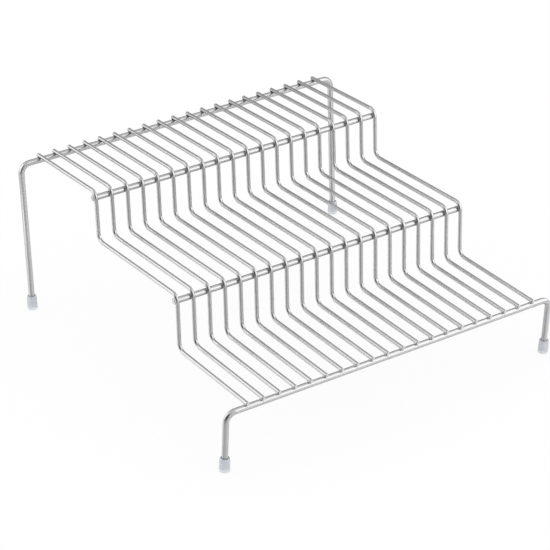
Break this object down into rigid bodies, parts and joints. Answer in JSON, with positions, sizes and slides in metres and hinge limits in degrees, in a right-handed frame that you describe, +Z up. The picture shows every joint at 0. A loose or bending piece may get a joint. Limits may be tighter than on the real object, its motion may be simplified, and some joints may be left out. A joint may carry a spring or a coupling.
{
  "type": "tiered shelf riser",
  "caption": "Free-standing stepped riser of welded steel wire: shelf wires bent into tiers lie across two bent leg frames and cross bars, with clear caps on the feet.",
  "frame": {"origin": "on the floor, at the centre of the riser's outline seen from above", "axes": "+X along the rails and cross bars to the right, +Y from the lowest tier at the front to the highest at the rear, +Z up"},
  "size_m": [0.3184, 0.311, 0.1407],
  "materials": {
    "steel_wire": "satin drawn stainless steel wire, lightly polished after welding",
    "clear_vinyl": "clear soft vinyl, dip-moulded, slightly bluish and milky"
  },
  "bodies": {
    "root": {"rear_frame": "steel_wire", "front_frame": "steel_wire", "upper_cross_bar": "steel_wire", "lower_cross_bar": "steel_wire", "shelf_wire_01": "steel_wire", "shelf_wire_02": "steel_wire", "shelf_wire_03": "steel_wire", "shelf_wire_04": "steel_wire", "shelf_wire_05": "steel_wire", "shelf_wire_06": "steel_wire", "shelf_wire_07": "steel_wire", "shelf_wire_08": "steel_wire", "shelf_wire_09": "steel_wire", "shelf_wire_10": "steel_wire", "shelf_wire_11": "steel_wire", "shelf_wire_12": "steel_wire", "shelf_wire_13": "steel_wire", "shelf_wire_14": "steel_wire", "shelf_wire_15": "steel_wire", "shelf_wire_16": "steel_wire", "shelf_wire_17": "steel_wire", "shelf_wire_18": "steel_wire", "shelf_wire_19": "steel_wire", "shelf_wire_20": "steel_wire", "foot_cap_rear_left": "clear_vinyl", "foot_cap_rear_right": "clear_vinyl", "foot_cap_front_left": "clear_vinyl", "foot_cap_front_right": "clear_vinyl"}
  },
  "joints": []
}
